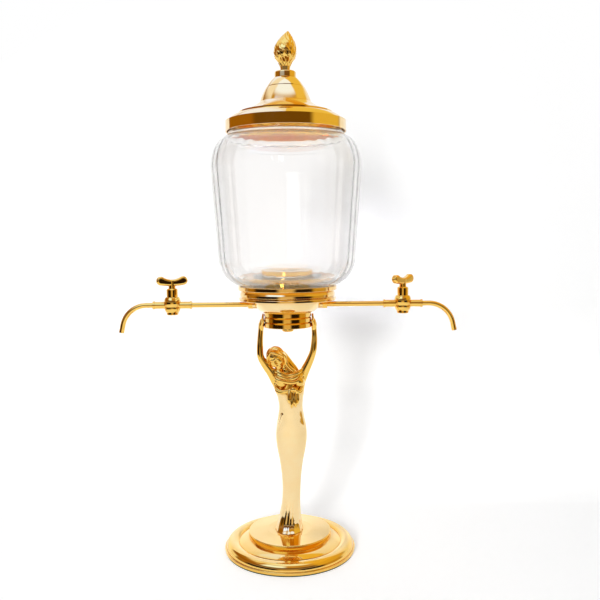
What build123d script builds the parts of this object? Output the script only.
from build123d import *
import os
from math import atan2, copysign, cos, degrees, pi, radians, sin, sqrt, tan
from typing import NamedTuple

# Absinthe fountain: a standing figure on a round foot lifts a glass water jar with two plug taps.
# Millimetres, +Z up, origin under the middle of the foot, pipes along X, figure facing -Y.

# Foot, heights above its underside
FELT_THICKNESS = 1.2
FELT_WIDTH = 6.5
FELT_INSET = 0.8
BASE_RADIUS = 68.2
BASE_RIM_WIDTH = 9.0
BASE_LIP_HEIGHT = 3.0
BASE_LIP_STEP = 1.5
BASE_LIP_ROUND = 0.7
BASE_BULGE_WIDTH = 13.7
BASE_BULGE_SWELL = 4.8
BASE_GROOVE_HEIGHT = 8.5
BASE_STEP_HEIGHT = 12.4
BASE_SHOULDER_SWELL = 0.4
BASE_DISC_RADIUS = 43.0
BASE_DISC_HEIGHT = 18.6
BASE_DISC_ROUND = 0.9
BASE_PLATFORM_RADIUS = 23.0
BASE_HEIGHT = 20.0
BASE_WALL = 3.0

# Bolt from inside the foot into the figure
BOLT_RADIUS = 3.0
BOLT_ACROSS_FLATS = 10.0
BOLT_HEAD_HEIGHT = 4.0
BOLT_ENGAGEMENT = 24.0
BOLT_HOLE_CLEARANCE = 0.4
WASHER_RADIUS = 8.0
WASHER_THICKNESS = 1.6

# Drum that the hands hold, and the nut under it
DRUM_LIFT = 213.4
DRUM_RADIUS = 24.1
DRUM_HEIGHT = 15.6
DRUM_WALL = 3.0
DRUM_FLOOR = 2.5
DRUM_RINGS = 3
DRUM_GROOVE_DEPTH = 1.1
DRUM_GROOVE_WIDTH = 1.5
DRUM_RING_ROUND = 0.5
BOTTOM_NUT_RADIUS = 6.0
BOTTOM_NUT_HEIGHT = 5.0
BOTTOM_NUT_ROUND = 1.8
BOTTOM_NUT_COVER = 1.5

# Water chamber
MANIFOLD_RADIUS = 35.2
MANIFOLD_FOOT_RADIUS = 25.6
MANIFOLD_SWELL = 2.0
MANIFOLD_HEIGHT = 12.3
MANIFOLD_FLOOR = 3.0
CHAMBER_RADIUS = 21.5
PIPE_BOSS_REACH = 0.6
PIPE_BOSS_MARGIN = 0.3

# Collar under the jar
COLLAR_HEIGHT = 14.5
COLLAR_RADIUS = 50.3
COLLAR_WAIST = 46.9
COLLAR_FOOT_RING = 49.5
COLLAR_MIDDLE_RING = 48.5
COLLAR_FOOT_HEIGHT = 2.8
COLLAR_GROOVE_HEIGHT = 1.2
COLLAR_MIDDLE_HEIGHT = 2.8
COLLAR_SLOPE_HEIGHT = 3.6
COLLAR_RING_ROUND = 0.6
COLLAR_LIP_WIDTH = 3.2
COLLAR_SEAT_DEPTH = 2.5
COLLAR_POCKET_DEPTH = 6.5
COLLAR_POCKET_MARGIN = 1.5
COLLAR_POCKET_WALL = 3.0
COLLAR_BORE = 13.0

# Glass jar
SEAL_THICKNESS = 1.5
LOWER_SEAL_RADIUS = 37.0
INNER_SEAL_RADIUS = 25.0
JAR_HOLE_RADIUS = 12.0
JAR_HEIGHT = 162.6
JAR_RADIUS = 75.9
JAR_LEAN = 4.1
JAR_CORNER_RADIUS = 30.0
JAR_INNER_CORNER = 24.0
JAR_SHOULDER_RADIUS = 42.0
JAR_CROWN_RADIUS = 16.0
JAR_CROWN_ANGLE = 33.0
JAR_NECK_RADIUS = 58.0
JAR_NECK_HEIGHT = 9.2
JAR_NECK_FILLET = 3.0
JAR_RIM_ROUND = 1.0
JAR_WALL = 3.5
JAR_FLOOR = 7.0

# Rod that clamps the stack, with the plate on the jar's floor and the nut in the drum
ROD_RADIUS = 4.0
ROD_HOLE_CLEARANCE = 0.3
HUB_RADIUS = 27.6
HUB_HEIGHT = 6.0
HUB_ROUND = 1.0
HUB_COVER = 1.5
DRAIN_COUNT = 6
DRAIN_RADIUS = 2.0
DRAIN_CIRCLE = 8.2
ROD_SEAL_RADIUS = 9.0
MANIFOLD_NUT_ACROSS_FLATS = 13.0
MANIFOLD_NUT_HEIGHT = 6.0

# Pipes, spouts and their nuts
PIPE_RADIUS = 2.6
PIPE_BORE = 1.8
PIPE_SETBACK = 1.0
PIPE_NUT_ACROSS_FLATS = 8.0
PIPE_NUT_LENGTH = 4.5
PIPE_NUT_CLEARANCE = 0.7
SPOUT_LEAD = 6.5
SPOUT_BEND_RADIUS = 25.5
SPOUT_BEND_ANGLE = 78.0
SPOUT_TAIL = 8.0

# Plug taps, heights measured from the pipe axis
TAP_DISTANCE = 118.1
TAP_REACH = 20.0
TAP_SOCKET_DEPTH = 9.0
TAP_BARREL_RADIUS = 3.6
TAP_BEAD_RADIUS = 4.1
TAP_BEAD_LENGTH = 1.8
TAP_TOP = 8.4
TAP_BOTTOM = 7.2
TAP_NECK_RADIUS = 6.8
TAP_FOOT_RADIUS = 7.8
TAP_FOOT_HEIGHT = 5.6
TAP_FOOT_SWELL = 0.7
TAP_SOLE_RADIUS = 6.5
TAP_BELLY_SWELL = 1.2
PLUG_TOP_RADIUS = 5.2
PLUG_TIP_RADIUS = 4.4
PLUG_CLEARANCE = 0.05
PLUG_GAP = 0.3
PLUG_SHOULDER_RADIUS = 5.7
PLUG_SHOULDER_HEIGHT = 8.4
PLUG_SHOULDER_CHAMFER = 1.2
PLUG_THREAD_RADIUS = 2.6
PLUG_WASHER_RADIUS = 6.2
PLUG_WASHER_THICKNESS = 0.7
PLUG_NUT_RADIUS = 5.8
PLUG_NUT_HEIGHT = 1.8
PLUG_NUT_ROUND = 0.6
PLUG_NUT_COVER = 0.7

# Wing handles, heights above the plug
HANDLE_STEM_RADIUS = 3.5
HANDLE_END_SPACING = 11.4
HANDLE_END_RADIUS = 4.5
HANDLE_END_RISE = 8.0
HANDLE_WAIST_TOP = 9.3
HANDLE_WAIST_BOTTOM = 2.6
HANDLE_THICKNESS = 6.6
HANDLE_ROUND = 2.2
LEFT_HANDLE_TURN = 20.0
RIGHT_HANDLE_TURN = 46.0

# Lid, rises above the jar's rim, gap above the foot of the jar's neck
LID_CLEARANCE = 1.1
LID_BAND_WALL = 1.4
LID_BAND_GAP = 2.1
LID_BAND_RISE = 3.0
LID_WALL = 1.6
LID_SEAT_WIDTH = 5.0
LID_SHOULDER_SWELL = 1.0
LID_SHOULDER_WIDTH = 12.1
LID_FLANGE_RISE = 11.6
LID_FLANGE_EDGE = 1.3
LID_FLANGE_HOLLOW = 1.3
BELL_FOOT_RADIUS = 25.8
BELL_FOOT_RISE = 21.9
BELL_STEP_RADIUS = 19.4
BELL_STEP_RISE = 36.1
BELL_STEP_SIZE = 0.9
BELL_LOWER_SWELL = 0.5
BELL_UPPER_SWELL = 0.4
BELL_TOP_RADIUS = 12.0
BELL_TOP_RISE = 45.3

# Finial and its fixing
FINIAL_RING_RADIUS = 10.7
FINIAL_RING_HEIGHT = 6.9
FINIAL_RING_ROUND = 1.6
FINIAL_NECK_RADIUS = 5.2
FINIAL_NECK_HEIGHT = 4.5
FINIAL_NECK_WAIST = 4.4
FINIAL_LOBES = 8
FINIAL_LOBE_DEPTH = 0.06
FINIAL_TWIST = 2.2
STUD_RADIUS = 2.5
STUD_ENGAGEMENT = 14.0
STUD_TAIL = 2.0
STUD_NUT_ACROSS_FLATS = 8.0
STUD_NUT_HEIGHT = 4.0

# Screws from inside the drum into the palms
SCREW_RADIUS = 1.3
SCREW_HEAD_RADIUS = 2.6
SCREW_HEAD_HEIGHT = 1.5
SCREW_GRIP = 2.8
SCREW_HOLE_CLEARANCE = 0.2
SCREW_LIFT = 6.0

# Tilt of the head to one side and its turn, degrees
HEAD_TILT = -26.0
HEAD_TURN = -14.0

# Hands
WRIST_RADIUS = 2.7
WRIST_DROP = 5.0
WRIST_OFFSET = 3.4
PALM_HALF_THICKNESS = 3.2
PALM_HALF_WIDTH = 4.6
PALM_OFFSET = 2.2
PALM_START = 1.5
PALM_RISE = 8.0
FINGER_COUNT = 4
FINGER_RADIUS = 1.25
FINGER_PITCH = 2.3
FINGER_OVERLAP = 3.0
FINGER_CLEARANCE = 0.8

GOWN_FOLDS = 8
GOWN_POINTS = 32


class GownSection(NamedTuple):
    """One level of the gown and torso: height above the foot, half sizes, shifts, fold depth, tilt."""

    height: float
    half_width: float
    half_depth: float
    shift_x: float
    shift_y: float
    fold: float
    tilt: float


# Figure in units of a hundredth of the drum's height above the foot: gown, egg forms, limbs and drapery
GOWN = [
    GownSection(0.0, 6.75, 8.0, -0.3, -1.1, 0.07, 0),
    GownSection(3.2, 6.0, 6.55, -0.1, -0.5, 0.075, 0),
    GownSection(7.4, 5.25, 5.25, 0.3, -0.15, 0.07, 0),
    GownSection(12.6, 4.6, 4.3, 0.7, 0.0, 0.055, 0),
    GownSection(19.1, 4.45, 4.0, 1.0, 0.1, 0.04, 0),
    GownSection(26.6, 4.83, 4.26, 1.08, 0.09, 0.03, 0),
    GownSection(34.6, 5.86, 4.87, 1.12, 0.09, 0.015, 0),
    GownSection(40.7, 7.03, 5.44, 1.17, 0.28, 0.0, 0),
    GownSection(46.3, 7.59, 5.72, 1.22, 0.52, 0.0, 0),
    GownSection(51.5, 7.31, 5.48, 1.22, 0.37, 0.0, 0),
    GownSection(56.1, 6.47, 4.87, 1.17, -0.05, 0.0, 0),
    GownSection(60.8, 5.81, 4.36, 1.08, -0.33, 0.0, 2),
    GownSection(65.0, 6.19, 4.4, 0.94, -0.23, 0.0, 3),
    GownSection(69.3, 7.12, 4.4, 0.66, -0.09, 0.0, 5),
    GownSection(73.5, 7.31, 4.03, 0.37, 0.14, 0.0, 8),
    GownSection(76.8, 5.81, 3.28, 0.0, 0.23, 0.0, 10),
    GownSection(79.1, 3.56, 2.62, -0.42, 0.23, 0.0, 12),
]


class Station(NamedTuple):
    """One place along a limb or lock of hair: x, y, height above the foot and half sizes."""

    x: float
    y: float
    height: float
    half_width: float
    half_depth: float


class Egg(NamedTuple):
    """Egg form: x, y, height above the foot and half sizes."""

    x: float
    y: float
    height: float
    half_width: float
    half_depth: float
    half_height: float


HEAD = Egg(-5.8, -1.0, 84.9, 3.55, 4.2, 5.2)
HAIR = Egg(-5.9, 0.1, 86.2, 4.35, 4.65, 4.4)
KNOT = Egg(2.4, -4.75, 70.2, 1.4, 1.0, 1.2)
LEFT_BREAST = Egg(-3.0, -2.4, 73.2, 2.95, 2.95, 2.95)
RIGHT_BREAST = Egg(4.6, -2.4, 73.7, 2.95, 2.95, 2.95)
NECK = [
    Station(0.2, 0.3, 75.0, 2.1, 2.1),
    Station(-2.2, 0.0, 79.0, 2.1, 2.1),
    Station(-4.6, -0.3, 83.0, 2.1, 2.1),
]
COWL = [
    Station(-6.3, -0.3, 77.2, 1.5, 1.6),
    Station(-3.9, -2.8, 76.0, 1.7, 1.7),
    Station(0.7, -3.4, 74.9, 1.8, 1.9),
    Station(4.8, -2.8, 76.4, 1.7, 1.7),
    Station(6.0, -0.9, 77.2, 1.5, 1.6),
]
LEFT_SASH = [
    Station(2.1, -4.75, 69.8, 0.8, 0.7),
    Station(1.5, -4.6, 66.0, 1.1, 0.8),
    Station(1.2, -4.4, 62.2, 0.85, 0.65),
]
RIGHT_SASH = [
    Station(2.9, -4.75, 69.8, 0.8, 0.7),
    Station(3.6, -4.45, 66.4, 1.05, 0.8),
    Station(4.0, -4.15, 63.2, 0.8, 0.65),
]
HAIR_LOCK = [
    Station(-4.7, 1.4, 86.4, 2.4, 2.3),
    Station(-1.7, 1.4, 83.4, 3.6, 2.6),
    Station(1.1, 1.3, 80.3, 3.9, 2.4),
    Station(3.7, 1.3, 77.2, 3.3, 2.2),
    Station(4.9, 1.7, 73.0, 2.5, 2.3),
    Station(5.0, 1.9, 68.3, 1.3, 1.3),
]
LEFT_ARM = [
    Station(-3.56, 0.19, 68.8, 2.34, 2.34),
    Station(-5.81, 0.19, 73.5, 2.62, 2.62),
    Station(-8.25, -0.09, 77.7, 2.30, 2.30),
    Station(-10.78, -0.66, 81.7, 2.01, 2.01),
    Station(-12.84, -1.12, 85.7, 1.73, 1.73),
    Station(-13.31, -0.84, 91.3, 1.59, 1.59),
]
RIGHT_ARM = [
    Station(4.03, 0.19, 69.7, 2.34, 2.34),
    Station(6.09, 0.19, 74.4, 2.62, 2.62),
    Station(8.06, -0.09, 78.6, 2.25, 2.25),
    Station(10.22, -0.66, 83.1, 1.97, 1.97),
    Station(12.18, -1.12, 87.5, 1.69, 1.69),
    Station(13.03, -0.84, 92.2, 1.55, 1.55),
]


class BudSection(NamedTuple):
    """One level of the finial's bud: height above its neck, mean radius and lean to one side."""

    height: float
    radius: float
    lean: float


BUD = [
    BudSection(0.0, 4.6, 0.0),
    BudSection(3.8, 6.4, 0.0),
    BudSection(8.6, 10.0, 0.0),
    BudSection(14.0, 11.3, 0.0),
    BudSection(19.6, 10.7, 0.3),
    BudSection(25.4, 7.9, 1.0),
    BudSection(30.3, 4.0, 1.9),
    BudSection(34.7, 0.7, 3.0),
]

# Levels of the stack, worked out from the foot upwards
base_bottom = FELT_THICKNESS
base_top = base_bottom + BASE_HEIGHT
drum_bottom = base_top + DRUM_LIFT
drum_top = drum_bottom + DRUM_HEIGHT
manifold_top = drum_top + MANIFOLD_HEIGHT
pipe_level = manifold_top - PIPE_NUT_ACROSS_FLATS / 2 - PIPE_NUT_CLEARANCE
collar_top = manifold_top + COLLAR_HEIGHT
seat_level = collar_top - COLLAR_SEAT_DEPTH
jar_bottom = seat_level + SEAL_THICKNESS
jar_floor = jar_bottom + JAR_FLOOR
jar_rim = jar_bottom + JAR_HEIGHT
jar_neck = jar_rim - JAR_NECK_HEIGHT
hub_bottom = jar_floor + SEAL_THICKNESS
hub_top = hub_bottom + HUB_HEIGHT
bell_top = jar_rim + BELL_TOP_RISE
finial_ring_top = bell_top + FINIAL_RING_HEIGHT
finial_bottom = finial_ring_top + FINIAL_NECK_HEIGHT
screw_level = drum_bottom + SCREW_LIFT

figure_unit = DRUM_LIFT / 100

# Radii and levels shared by pieces that fit each other
drum_inner = DRUM_RADIUS - DRUM_WALL
boss_face = MANIFOLD_RADIUS + PIPE_BOSS_REACH
rod_seal_bottom = drum_top - SEAL_THICKNESS
rod_bottom = drum_bottom - BOTTOM_NUT_HEIGHT + BOTTOM_NUT_COVER
rod_top = hub_top - HUB_COVER
washer_bottom = base_top - BASE_WALL - WASHER_THICKNESS
band_inner = JAR_NECK_RADIUS + LID_CLEARANCE
band_outer = band_inner + LID_BAND_WALL
flange_radius = band_inner - LID_SHOULDER_WIDTH
plug_bottom = -TAP_BOTTOM - PLUG_GAP
plug_nut_top = plug_bottom - PLUG_WASHER_THICKNESS
plug_nut_bottom = plug_nut_top - PLUG_NUT_HEIGHT
plug_shoulder = TAP_TOP + PLUG_GAP
plug_top = plug_shoulder + PLUG_SHOULDER_HEIGHT

SIDES = {"left": -1, "right": 1}
HANDLE_TURNS = {"left": LEFT_HANDLE_TURN, "right": RIGHT_HANDLE_TURN}


def at(radius, level):
    """Point of an outline that is turned about the upright axis."""
    return (radius, 0, level)


def bowed(start, end, swell):
    """Arc between two outline points, swelling to the right of the way from start to end."""
    run = end[0] - start[0]
    rise = end[2] - start[2]
    length = sqrt(run**2 + rise**2)
    middle_radius = (start[0] + end[0]) / 2 + swell * rise / length
    middle_level = (start[2] + end[2]) / 2 - swell * run / length
    return ThreePointArc(start, at(middle_radius, middle_level), end)


def turned(*outline):
    """Solid turned about Z from the lines and arcs of a closed outline."""
    return revolve(make_face(outline), Axis.Z)


def turned_corners(*corners, radii=0):
    """Solid turned about Z from the corners of a closed outline, rounded by radii."""
    return turned(FilletPolyline(*corners, radius=radii, close=True))


def ring(inner, outer, bottom, top):
    """Plain ring or washer about Z."""
    return turned_corners(at(inner, bottom), at(outer, bottom), at(outer, top), at(inner, top))


def hexagon(across_flats, bottom, top, hole):
    """Hexagon nut about Z with a plain hole."""
    sketch = RegularPolygon(across_flats / 2, 6, major_radius=False) - Circle(hole)
    return extrude(Plane.XY.offset(bottom) * sketch, top - bottom)


def bar(radius, start, end):
    """Round bar between two points."""
    path = Vector(*end) - Vector(*start)
    return extrude(Plane(origin=start, z_dir=path) * Circle(radius), path.length)


def rod(radius, bottom, top):
    """Round bar about Z."""
    return bar(radius, (0, 0, bottom), (0, 0, top))


def cap_nut(radius, bottom, top, hole, cover, rounding):
    """Round nut about Z, open above, with a closed and rounded underside."""
    return turned_corners(
        at(0, bottom),
        at(radius, bottom),
        at(radius, top),
        at(hole, top),
        at(hole, bottom + cover),
        at(0, bottom + cover),
        radii=[0, rounding, 0, 0, 0, 0],
    )


def make_base():
    """Hollow foot: lip, bulge, groove, shoulder and raised disc, with a hole for the figure's bolt."""
    lip_top = base_bottom + BASE_LIP_HEIGHT
    bulge_edge = BASE_RADIUS - BASE_LIP_STEP
    groove = at(bulge_edge - BASE_BULGE_WIDTH, base_bottom + BASE_GROOVE_HEIGHT)
    step_foot = at(BASE_DISC_RADIUS, base_bottom + BASE_STEP_HEIGHT)
    disc_level = base_bottom + BASE_DISC_HEIGHT
    lip = FilletPolyline(
        at(0, base_bottom),
        at(BASE_RADIUS, base_bottom),
        at(BASE_RADIUS, lip_top),
        at(bulge_edge, lip_top),
        radius=[BASE_LIP_ROUND, BASE_LIP_ROUND],
    )
    bulge = bowed(at(bulge_edge, lip_top), groove, BASE_BULGE_SWELL)
    shoulder = bowed(groove, step_foot, BASE_SHOULDER_SWELL)
    disc = FilletPolyline(
        step_foot,
        at(BASE_DISC_RADIUS, disc_level),
        at(BASE_PLATFORM_RADIUS, base_top),
        at(0, base_top),
        at(0, base_bottom),
        radius=[BASE_DISC_ROUND, 0, 0],
    )
    rim_inner = BASE_RADIUS - BASE_RIM_WIDTH
    cavity = turned_corners(
        at(0, base_bottom),
        at(rim_inner, base_bottom),
        at(rim_inner, groove[2] - BASE_WALL),
        at(groove[0] - BASE_WALL, groove[2] - BASE_WALL),
        at(BASE_DISC_RADIUS - BASE_WALL, step_foot[2] - BASE_WALL),
        at(BASE_PLATFORM_RADIUS, base_top - BASE_WALL),
        at(0, base_top - BASE_WALL),
    )
    hole = rod(BOLT_RADIUS + BOLT_HOLE_CLEARANCE, base_bottom, base_top)
    return turned(lip, bulge, shoulder, disc) - cavity - hole


def make_felt():
    """Felt ring glued under the foot's rim."""
    outer = BASE_RADIUS - FELT_INSET
    return ring(outer - FELT_WIDTH, outer, 0, FELT_THICKNESS)


def make_figure_bolt():
    """Hexagon bolt that draws the figure down on the foot."""
    head = extrude(
        Plane.XY.offset(washer_bottom - BOLT_HEAD_HEIGHT)
        * RegularPolygon(BOLT_ACROSS_FLATS / 2, 6, major_radius=False),
        BOLT_HEAD_HEIGHT,
    )
    return head + rod(BOLT_RADIUS, washer_bottom - BOLT_HEAD_HEIGHT, base_top + BOLT_ENGAGEMENT)


def above_foot(place):
    """Location of a point of the figure, given in figure units above the foot."""
    return Pos(place[0] * figure_unit, place[1] * figure_unit, base_top + place[2] * figure_unit)


def gown_face(section):
    """Closed outline of the gown at one level, rippled by its folds."""
    points = []
    for index in range(GOWN_POINTS):
        angle = 2 * pi * index / GOWN_POINTS
        ripple = 1 + section.fold * cos(GOWN_FOLDS * angle)
        size = figure_unit * ripple
        points.append((section.half_width * size * cos(angle), section.half_depth * size * sin(angle)))
    lean = radians(section.tilt)
    plane = Plane(
        origin=above_foot((section.shift_x, section.shift_y, section.height)).position,
        x_dir=(cos(lean), 0, sin(lean)),
        z_dir=(-sin(lean), 0, cos(lean)),
    )
    return plane * make_face(Spline(*points, periodic=True))


def ellipsoid(egg):
    """Egg form, tilted sideways and turned about its upright axis as the head is."""
    return above_foot(egg[:3]) * Rot(0, HEAD_TILT, HEAD_TURN) * scale(Sphere(figure_unit), by=egg[3:])


def make_figure_body():
    """Gown, bust, cowl, sash, neck, head and hair in one casting, bored for the bolt."""
    body = loft([gown_face(section) for section in GOWN])
    for egg in (HEAD, HAIR, KNOT, LEFT_BREAST, RIGHT_BREAST):
        body += ellipsoid(egg)
    for stations in (NECK, COWL, LEFT_SASH, RIGHT_SASH):
        body += limb(in_millimetres(stations))
    lock = []
    for station in HAIR_LOCK:
        section = Ellipse(station.half_width * figure_unit, station.half_depth * figure_unit)
        lock.append(above_foot(station[:3]) * section)
    body += loft(lock)
    return body - rod(BOLT_RADIUS, base_top, base_top + BOLT_ENGAGEMENT)


def in_millimetres(stations):
    """Stations of the figure, from figure units."""
    return [Station(*(figure_unit * value for value in station)) for station in stations]


def limb(stations):
    """Loft through ellipses set square to the line from station to station, in millimetres."""
    places = [Vector(s.x, s.y, base_top + s.height) for s in stations]
    sections = []
    for index, station in enumerate(stations):
        before = places[max(index - 1, 0)]
        after = places[min(index + 1, len(places) - 1)]
        plane = Plane(origin=places[index], x_dir=(0, 1, 0), z_dir=after - before)
        sections.append(plane * Ellipse(station.half_depth, station.half_width))
    return loft(sections)


def make_arm(side, upper_stations, body):
    """Raised arm, cut to fit the shoulder and the drum, with the palm bored for its screw."""
    wrist_x = side * (DRUM_RADIUS + WRIST_OFFSET)
    wrist = Station(wrist_x, 0, DRUM_LIFT - WRIST_DROP, WRIST_RADIUS, WRIST_RADIUS)
    palm_x = side * (DRUM_RADIUS + PALM_OFFSET)
    palm_low = Station(palm_x, 0, DRUM_LIFT + PALM_START, PALM_HALF_THICKNESS, PALM_HALF_WIDTH)
    palm_high = Station(palm_x, 0, DRUM_LIFT + PALM_RISE, PALM_HALF_THICKNESS, PALM_HALF_WIDTH)
    arm = limb(in_millimetres(upper_stations) + [wrist, palm_low, palm_high])
    finger_circle = DRUM_RADIUS + FINGER_RADIUS
    finger_bottom = drum_bottom + PALM_RISE - FINGER_OVERLAP
    finger_top = drum_top - FINGER_CLEARANCE - FINGER_RADIUS
    for index in range(FINGER_COUNT):
        angle = (index - (FINGER_COUNT - 1) / 2) * FINGER_PITCH / finger_circle
        x = side * finger_circle * cos(angle)
        y = finger_circle * sin(angle)
        arm += bar(FINGER_RADIUS, (x, y, finger_bottom), (x, y, finger_top))
        arm += Pos(x, y, finger_top) * Sphere(FINGER_RADIUS)
    arm -= rod(DRUM_RADIUS, drum_bottom, drum_top)
    arm -= bar(SCREW_RADIUS, (0, 0, screw_level), (side * (DRUM_RADIUS + SCREW_GRIP), 0, screw_level))
    return arm - body


def make_hand_screws():
    """Two screws, heads inside the drum, that hold the palms to its wall."""
    head_face = sqrt(drum_inner**2 - SCREW_HEAD_RADIUS**2)
    screws = []
    for side in SIDES.values():
        head_start = (side * (head_face - SCREW_HEAD_HEIGHT), 0, screw_level)
        tip = (side * (DRUM_RADIUS + SCREW_GRIP), 0, screw_level)
        head = bar(SCREW_HEAD_RADIUS, head_start, (side * head_face, 0, screw_level))
        screws.append(head + bar(SCREW_RADIUS, head_start, tip))
    return Part() + screws


def make_drum():
    """Cup with ringed sides, open above, with holes for the rod and the palm screws."""
    solid = rod(DRUM_RADIUS, drum_bottom, drum_top)
    pitch = DRUM_HEIGHT / DRUM_RINGS
    half = DRUM_GROOVE_WIDTH / 2
    for index in range(1, DRUM_RINGS):
        level = drum_bottom + index * pitch
        solid -= turned_corners(
            at(DRUM_RADIUS + half, level - 2 * half),
            at(DRUM_RADIUS + half, level + 2 * half),
            at(DRUM_RADIUS - DRUM_GROOVE_DEPTH, level),
        )
    edges = solid.edges().filter_by(GeomType.CIRCLE)
    solid = fillet([edges.sort_by(Axis.Z)[0], edges.sort_by(Axis.Z)[-1]], DRUM_RING_ROUND)
    solid -= rod(drum_inner, drum_bottom + DRUM_FLOOR, drum_top)
    solid -= rod(ROD_RADIUS + ROD_HOLE_CLEARANCE, drum_bottom, drum_top)
    reach = DRUM_RADIUS + SCREW_GRIP
    hole_radius = SCREW_RADIUS + SCREW_HOLE_CLEARANCE
    return solid - bar(hole_radius, (-reach, 0, screw_level), (reach, 0, screw_level))


def make_manifold():
    """Bowl of the water chamber, closed by the collar above, with a flat boss and a hole for each pipe."""
    rod_hole = ROD_RADIUS + ROD_HOLE_CLEARANCE
    floor = drum_top + MANIFOLD_FLOOR
    foot = at(MANIFOLD_FOOT_RADIUS, drum_top)
    edge = at(MANIFOLD_RADIUS, manifold_top)
    middle = Polyline(edge, at(0, manifold_top), at(0, drum_top), foot)
    solid = turned(bowed(foot, edge, MANIFOLD_SWELL), middle)
    boss_radius = PIPE_NUT_ACROSS_FLATS / 2 + PIPE_BOSS_MARGIN
    solid += bar(boss_radius, (-boss_face, 0, pipe_level), (boss_face, 0, pipe_level))
    solid -= rod(CHAMBER_RADIUS, floor, manifold_top)
    solid -= rod(rod_hole, drum_top, manifold_top)
    return solid - bar(PIPE_RADIUS, (-boss_face, 0, pipe_level), (boss_face, 0, pipe_level))


def make_collar():
    """Ringed seat for the jar, hollowed from below, with a bore for the water."""
    foot_top = manifold_top + COLLAR_FOOT_HEIGHT
    groove_top = foot_top + COLLAR_GROOVE_HEIGHT
    middle_top = groove_top + COLLAR_MIDDLE_HEIGHT
    slope_top = middle_top + COLLAR_SLOPE_HEIGHT
    seat_radius = COLLAR_RADIUS - COLLAR_LIP_WIDTH
    soft = COLLAR_RING_ROUND
    solid = turned_corners(
        at(COLLAR_BORE, manifold_top),
        at(COLLAR_FOOT_RING, manifold_top),
        at(COLLAR_FOOT_RING, foot_top),
        at(COLLAR_WAIST, foot_top),
        at(COLLAR_WAIST, groove_top),
        at(COLLAR_MIDDLE_RING, groove_top),
        at(COLLAR_MIDDLE_RING, middle_top),
        at(COLLAR_WAIST, slope_top),
        at(COLLAR_RADIUS, slope_top),
        at(COLLAR_RADIUS, collar_top),
        at(seat_radius, collar_top),
        at(seat_radius, seat_level),
        at(COLLAR_BORE, seat_level),
        radii=[0, soft, soft, 0, 0, soft, soft, 0, soft, soft, soft, 0, 0],
    )
    pocket_inner = MANIFOLD_RADIUS + COLLAR_POCKET_MARGIN
    pocket_outer = COLLAR_WAIST - COLLAR_POCKET_WALL
    return solid - ring(pocket_inner, pocket_outer, manifold_top, manifold_top + COLLAR_POCKET_DEPTH)


def arc(centre, radius, start, end):
    """Arc about an outline point between two angles in degrees, anticlockwise from outwards."""
    ends = []
    for angle in (start, (start + end) / 2, end):
        turn = radians(angle)
        ends.append(at(centre[0] + radius * cos(turn), centre[2] + radius * sin(turn)))
    return ThreePointArc(*ends)


def make_jar():
    """Blown jar: rounded bottom, wall that widens upwards, round shoulder, short neck, ground rim."""
    throat = at(JAR_NECK_RADIUS + JAR_NECK_FILLET, jar_neck)
    shoulder_centre = JAR_RADIUS - JAR_SHOULDER_RADIUS
    offset = JAR_SHOULDER_RADIUS - JAR_CROWN_RADIUS
    crown_centre = shoulder_centre + offset * cos(radians(JAR_CROWN_ANGLE))
    reach = throat[0] - crown_centre
    rise = sqrt((JAR_CROWN_RADIUS + JAR_NECK_FILLET) ** 2 - reach**2)
    crown = at(crown_centre, jar_neck - rise)
    shoulder = at(shoulder_centre, crown[2] - offset * sin(radians(JAR_CROWN_ANGLE)))
    crown_end = degrees(atan2(rise, reach))
    slope = tan(radians(JAR_LEAN))
    stretch = 1 / cos(radians(JAR_LEAN))

    def wall_side(floor, corner_radius, inset):
        """Corner, shoulder, crown and throat on one side of the wall, from the floor up."""
        level = floor + corner_radius
        wall = shoulder[0] + (JAR_SHOULDER_RADIUS - inset) * stretch - slope * (shoulder[2] - level)
        corner = at(wall - corner_radius * stretch, level)
        return [
            arc(corner, corner_radius, -90, -JAR_LEAN),
            arc(shoulder, JAR_SHOULDER_RADIUS - inset, -JAR_LEAN, JAR_CROWN_ANGLE),
            arc(crown, JAR_CROWN_RADIUS - inset, JAR_CROWN_ANGLE, crown_end),
            arc(throat, JAR_NECK_FILLET + inset, crown_end - 180, -180),
        ]

    outside = wall_side(jar_bottom, JAR_CORNER_RADIUS, 0)
    inside = wall_side(jar_floor, JAR_INNER_CORNER, JAR_WALL)
    rim = FilletPolyline(
        outside[-1] @ 1,
        at(JAR_NECK_RADIUS, jar_rim),
        at(JAR_NECK_RADIUS - JAR_WALL, jar_rim),
        inside[-1] @ 1,
        radius=[JAR_RIM_ROUND, JAR_RIM_ROUND],
    )
    walls = [Line(side[0] @ 1, side[1] @ 0) for side in (outside, inside)]
    floor = Polyline(
        outside[0] @ 0,
        at(JAR_HOLE_RADIUS, jar_bottom),
        at(JAR_HOLE_RADIUS, jar_floor),
        inside[0] @ 0,
    )
    return turned(floor, *outside, *inside, *walls, rim)


def make_hub():
    """Round plate screwed down on the rod, with drain holes over the jar's hole."""
    plate = turned_corners(
        at(0, hub_bottom),
        at(HUB_RADIUS, hub_bottom),
        at(HUB_RADIUS, hub_top),
        at(0, hub_top),
        radii=[0, 0, HUB_ROUND, 0],
    )
    plate -= rod(ROD_RADIUS, hub_bottom, rod_top)
    for index in range(DRAIN_COUNT):
        angle = 2 * pi * index / DRAIN_COUNT
        x = DRAIN_CIRCLE * cos(angle)
        y = DRAIN_CIRCLE * sin(angle)
        plate -= bar(DRAIN_RADIUS, (x, y, hub_bottom), (x, y, hub_top))
    return plate


def make_pipe(side):
    """Straight pipe from the water chamber into the tap's socket."""
    start = (side * (CHAMBER_RADIUS + PIPE_SETBACK), 0, pipe_level)
    end = (side * (TAP_DISTANCE - TAP_REACH + TAP_SOCKET_DEPTH), 0, pipe_level)
    return bar(PIPE_RADIUS, start, end) - bar(PIPE_BORE, start, end)


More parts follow.
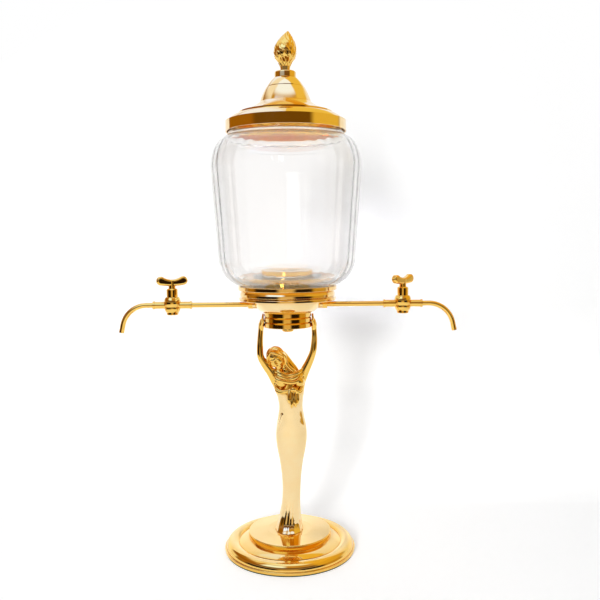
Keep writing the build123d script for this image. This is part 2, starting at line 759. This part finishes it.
def make_pipe_nut(side):
    """Lock nut on the pipe, against the water chamber's boss."""
    nut = hexagon(PIPE_NUT_ACROSS_FLATS, 0, PIPE_NUT_LENGTH, PIPE_RADIUS)
    plane = Plane(origin=(side * boss_face, 0, pipe_level), x_dir=(0, 1, 0), z_dir=(side, 0, 0))
    return plane * nut


def make_spout(side):
    """Outlet tube that leaves the tap level and bends down."""
    turn = radians(SPOUT_BEND_ANGLE)
    tangent = SPOUT_BEND_RADIUS * tan(turn / 2)
    start_x = TAP_DISTANCE + TAP_REACH - TAP_SOCKET_DEPTH
    corner_x = TAP_DISTANCE + TAP_REACH + SPOUT_LEAD + tangent
    end_x = corner_x + (tangent + SPOUT_TAIL) * cos(turn)
    end_level = pipe_level - (tangent + SPOUT_TAIL) * sin(turn)
    start = (side * start_x, 0, pipe_level)
    path = FilletPolyline(
        start,
        (side * corner_x, 0, pipe_level),
        (side * end_x, 0, end_level),
        radius=SPOUT_BEND_RADIUS,
    )
    mouth = Plane(origin=start, z_dir=(side, 0, 0))
    return sweep(mouth * Circle(PIPE_RADIUS), path) - sweep(mouth * Circle(PIPE_BORE), path)


def at_tap(side, turn=0.0):
    """Place of a tap, where the plug's axis crosses the pipe's axis."""
    return Pos(side * TAP_DISTANCE, 0, pipe_level) * Rot(0, 0, turn)


def make_tap_body(side):
    """Bellied tap body with inlet and outlet barrels and a tapered seat for the plug."""
    foot_top = at(TAP_FOOT_RADIUS, TAP_FOOT_HEIGHT - TAP_BOTTOM)
    neck = at(TAP_NECK_RADIUS, TAP_TOP)
    sole = at(TAP_SOLE_RADIUS, -TAP_BOTTOM)
    body = turned(
        Polyline(neck, at(0, TAP_TOP), at(0, -TAP_BOTTOM), sole),
        bowed(sole, foot_top, TAP_FOOT_SWELL),
        bowed(foot_top, neck, TAP_BELLY_SWELL),
    )
    body += bar(TAP_BARREL_RADIUS, (-TAP_REACH, 0, 0), (TAP_REACH, 0, 0))
    for end in (-1, 1):
        body += bar(TAP_BEAD_RADIUS, (end * (TAP_REACH - TAP_BEAD_LENGTH), 0, 0), (end * TAP_REACH, 0, 0))
    seat = turned_corners(
        at(0, -TAP_BOTTOM),
        at(PLUG_TIP_RADIUS + PLUG_CLEARANCE, -TAP_BOTTOM),
        at(PLUG_TOP_RADIUS + PLUG_CLEARANCE, TAP_TOP),
        at(0, TAP_TOP),
    )
    body -= seat
    body -= bar(PIPE_BORE, (-TAP_REACH, 0, 0), (TAP_REACH, 0, 0))
    for end in (-1, 1):
        body -= bar(PIPE_RADIUS, (end * (TAP_REACH - TAP_SOCKET_DEPTH), 0, 0), (end * TAP_REACH, 0, 0))
    return at_tap(side) * body


def make_plug(side, turn):
    """Tapered plug with a cross port, a chamfered shoulder above and a thread below."""
    plug = turned_corners(
        at(0, plug_nut_bottom + PLUG_NUT_COVER),
        at(PLUG_THREAD_RADIUS, plug_nut_bottom + PLUG_NUT_COVER),
        at(PLUG_THREAD_RADIUS, plug_bottom),
        at(PLUG_TIP_RADIUS, plug_bottom),
        at(PLUG_TIP_RADIUS, -TAP_BOTTOM),
        at(PLUG_TOP_RADIUS, TAP_TOP),
        at(PLUG_TOP_RADIUS, plug_shoulder),
        at(PLUG_SHOULDER_RADIUS, plug_shoulder),
        at(PLUG_SHOULDER_RADIUS, plug_top - PLUG_SHOULDER_CHAMFER),
        at(PLUG_SHOULDER_RADIUS - PLUG_SHOULDER_CHAMFER, plug_top),
        at(0, plug_top),
    )
    plug -= bar(PIPE_BORE, (-TAP_FOOT_RADIUS, 0, 0), (TAP_FOOT_RADIUS, 0, 0))
    return at_tap(side, turn) * plug


def make_plug_washer(side):
    """Washer between the tap body and the retaining cap."""
    return at_tap(side) * ring(PLUG_THREAD_RADIUS, PLUG_WASHER_RADIUS, plug_nut_top, plug_bottom)


def make_plug_nut(side):
    """Retaining cap screwed on the plug under the tap."""
    nut = cap_nut(
        PLUG_NUT_RADIUS, plug_nut_bottom, plug_nut_top, PLUG_THREAD_RADIUS, PLUG_NUT_COVER, PLUG_NUT_ROUND
    )
    return at_tap(side) * nut


def wing_bridge(waist):
    """Point where the end circle meets an arc that crosses the middle of the wing at waist."""
    drop = HANDLE_END_RADIUS - waist
    centre = (HANDLE_END_SPACING**2 - drop**2) / (2 * drop)
    distance = copysign(sqrt(HANDLE_END_SPACING**2 + centre**2), centre)
    x = HANDLE_END_SPACING - HANDLE_END_RADIUS * HANDLE_END_SPACING / distance
    return x, HANDLE_END_RADIUS * centre / distance


def make_handle(side, turn):
    """Saddle-shaped wing on a short stem: two round ends joined by tangent arcs."""
    level = plug_top + HANDLE_END_RISE
    upper_waist = HANDLE_WAIST_TOP - HANDLE_END_RISE
    lower_waist = HANDLE_END_RISE - HANDLE_WAIST_BOTTOM
    upper_x, upper_z = wing_bridge(upper_waist)
    lower_x, lower_z = wing_bridge(lower_waist)
    end_x = HANDLE_END_SPACING + HANDLE_END_RADIUS
    high_left, high_right = (at(end * upper_x, level + upper_z) for end in (-1, 1))
    low_left, low_right = (at(end * lower_x, level - lower_z) for end in (-1, 1))
    outline = [
        ThreePointArc(high_left, at(0, level + upper_waist), high_right),
        ThreePointArc(high_right, at(end_x, level), low_right),
        ThreePointArc(low_right, at(0, level - lower_waist), low_left),
        ThreePointArc(low_left, at(-end_x, level), high_left),
    ]
    wing = extrude(make_face(outline), HANDLE_THICKNESS / 2, dir=(0, 1, 0), both=True)
    rims = wing.faces().sort_by(Axis.Y)
    wing = fillet(rims[0].edges() + rims[-1].edges(), HANDLE_ROUND)
    return at_tap(side, turn) * (wing + rod(HANDLE_STEM_RADIUS, plug_top, level))


def make_lid_band():
    """Plain band that hangs round the jar's rim."""
    return ring(band_inner, band_outer, jar_neck + LID_BAND_GAP, jar_rim + LID_BAND_RISE)


def make_lid_dome():
    """Spun lid: seat on the rim, stepped flange and stepped bell, bored for the stud."""
    band_top = at(band_inner, jar_rim + LID_BAND_RISE)
    flange = at(flange_radius, jar_rim + LID_FLANGE_RISE)
    flange_low = at(flange_radius, flange[2] - LID_FLANGE_EDGE)
    bell_foot = at(BELL_FOOT_RADIUS, jar_rim + BELL_FOOT_RISE)
    step = at(BELL_STEP_RADIUS, jar_rim + BELL_STEP_RISE)
    step_inner = BELL_STEP_RADIUS - BELL_STEP_SIZE
    step_top = at(step_inner, step[2] + BELL_STEP_SIZE)
    crown = at(BELL_TOP_RADIUS, bell_top)
    seat_inner = band_inner - LID_SEAT_WIDTH
    slope = (flange_low[2] - band_top[2]) / LID_SHOULDER_WIDTH
    under_seat = band_top[2] + LID_SEAT_WIDTH * slope - LID_WALL
    under_flange = at(flange_radius, flange_low[2] - LID_WALL)
    under_foot = at(BELL_FOOT_RADIUS - LID_WALL, bell_foot[2] - LID_WALL)
    under_step = at(step_inner - LID_WALL, step[2])
    under_crown = at(BELL_TOP_RADIUS - LID_WALL, bell_top - LID_WALL)
    dome = turned(
        Polyline(at(seat_inner, jar_rim), at(band_inner, jar_rim), band_top),
        bowed(band_top, flange_low, LID_SHOULDER_SWELL),
        Line(flange_low, flange),
        bowed(flange, bell_foot, -LID_FLANGE_HOLLOW),
        bowed(bell_foot, step, BELL_LOWER_SWELL),
        Polyline(step, at(step_inner, step[2]), step_top),
        bowed(step_top, crown, BELL_UPPER_SWELL),
        Polyline(crown, at(0, bell_top), at(0, under_crown[2]), under_crown),
        bowed(under_step, under_crown, BELL_UPPER_SWELL),
        bowed(under_foot, under_step, BELL_LOWER_SWELL),
        bowed(under_flange, under_foot, -LID_FLANGE_HOLLOW),
        Polyline(under_flange, at(seat_inner, under_seat), at(seat_inner, jar_rim)),
    )
    return dome - rod(STUD_RADIUS, jar_rim, bell_top)


def make_finial_neck():
    """Turned ring and neck between the bell and the bud."""
    return turned_corners(
        at(STUD_RADIUS, bell_top),
        at(FINIAL_RING_RADIUS, bell_top),
        at(FINIAL_RING_RADIUS, finial_ring_top),
        at(FINIAL_NECK_WAIST, finial_ring_top),
        at(FINIAL_NECK_RADIUS, finial_bottom),
        at(STUD_RADIUS, finial_bottom),
        radii=[0, FINIAL_RING_ROUND / 2, FINIAL_RING_ROUND, FINIAL_RING_ROUND / 2, 0, 0],
    )


def bud_face(section):
    """Lobed outline of the bud at one level, turned by its twist."""
    points = []
    count = 4 * FINIAL_LOBES
    for index in range(count):
        angle = 2 * pi * index / count
        radius = section.radius * (1 + FINIAL_LOBE_DEPTH * cos(FINIAL_LOBES * angle))
        turn = angle + radians(FINIAL_TWIST * section.height)
        points.append((radius * cos(turn), radius * sin(turn)))
    place = Pos(section.lean, 0, finial_bottom + section.height)
    return place * make_face(Spline(*points, periodic=True))


def make_finial():
    """Pointed bud with twisted lobes and a leaning tip, bored for the stud."""
    bud = loft([bud_face(section) for section in BUD])
    return bud - rod(STUD_RADIUS, finial_bottom, finial_bottom + STUD_ENGAGEMENT)


def make_finial_stud():
    """Threaded stud through the bell's crown and the neck into the bud."""
    under_crown = bell_top - LID_WALL
    bottom = under_crown - STUD_NUT_HEIGHT - STUD_TAIL
    return rod(STUD_RADIUS, bottom, finial_bottom + STUD_ENGAGEMENT)


def make_finial_nut():
    """Nut on the stud, under the bell's crown."""
    top = bell_top - LID_WALL
    return hexagon(STUD_NUT_ACROSS_FLATS, top - STUD_NUT_HEIGHT, top, STUD_RADIUS)


def make_nodes():
    """Every piece of the fountain by name."""
    body = make_figure_body()
    nut_bottom = rod_seal_bottom - MANIFOLD_NUT_HEIGHT
    nodes = {
        "base": make_base(),
        "base_felt": make_felt(),
        "figure_bolt": make_figure_bolt(),
        "figure_washer": ring(BOLT_RADIUS, WASHER_RADIUS, washer_bottom, base_top - BASE_WALL),
        "figure_body": body,
        "left_arm": make_arm(-1, LEFT_ARM, body),
        "right_arm": make_arm(1, RIGHT_ARM, body),
        "hand_screws": make_hand_screws(),
        "drum": make_drum(),
        "bottom_nut": cap_nut(
            BOTTOM_NUT_RADIUS,
            drum_bottom - BOTTOM_NUT_HEIGHT,
            drum_bottom,
            ROD_RADIUS,
            BOTTOM_NUT_COVER,
            BOTTOM_NUT_ROUND,
        ),
        "tie_rod": rod(ROD_RADIUS, rod_bottom, rod_top),
        "manifold": make_manifold(),
        "manifold_nut": hexagon(MANIFOLD_NUT_ACROSS_FLATS, nut_bottom, rod_seal_bottom, ROD_RADIUS),
        "rod_seal": ring(ROD_RADIUS, ROD_SEAL_RADIUS, rod_seal_bottom, drum_top),
        "collar": make_collar(),
        "jar_seal_lower": ring(COLLAR_BORE, LOWER_SEAL_RADIUS, seat_level, jar_bottom),
        "glass_jar": make_jar(),
        "jar_seal_inner": ring(COLLAR_BORE, INNER_SEAL_RADIUS, jar_floor, hub_bottom),
        "hub_plate": make_hub(),
        "lid_band": make_lid_band(),
        "lid_dome": make_lid_dome(),
        "finial_neck": make_finial_neck(),
        "finial": make_finial(),
        "finial_stud": make_finial_stud(),
        "finial_nut": make_finial_nut(),
    }
    for name, side in SIDES.items():
        turn = HANDLE_TURNS[name]
        nodes[f"{name}_pipe"] = make_pipe(side)
        nodes[f"{name}_pipe_nut"] = make_pipe_nut(side)
        nodes[f"{name}_tap_body"] = make_tap_body(side)
        nodes[f"{name}_spout"] = make_spout(side)
        nodes[f"{name}_plug"] = make_plug(side, turn)
        nodes[f"{name}_handle"] = make_handle(side, turn)
        nodes[f"{name}_plug_washer"] = make_plug_washer(side)
        nodes[f"{name}_plug_nut"] = make_plug_nut(side)
    return nodes


os.makedirs("parts", exist_ok=True)
for node, solid in make_nodes().items():
    export_step(solid, f"parts/{node}.step")
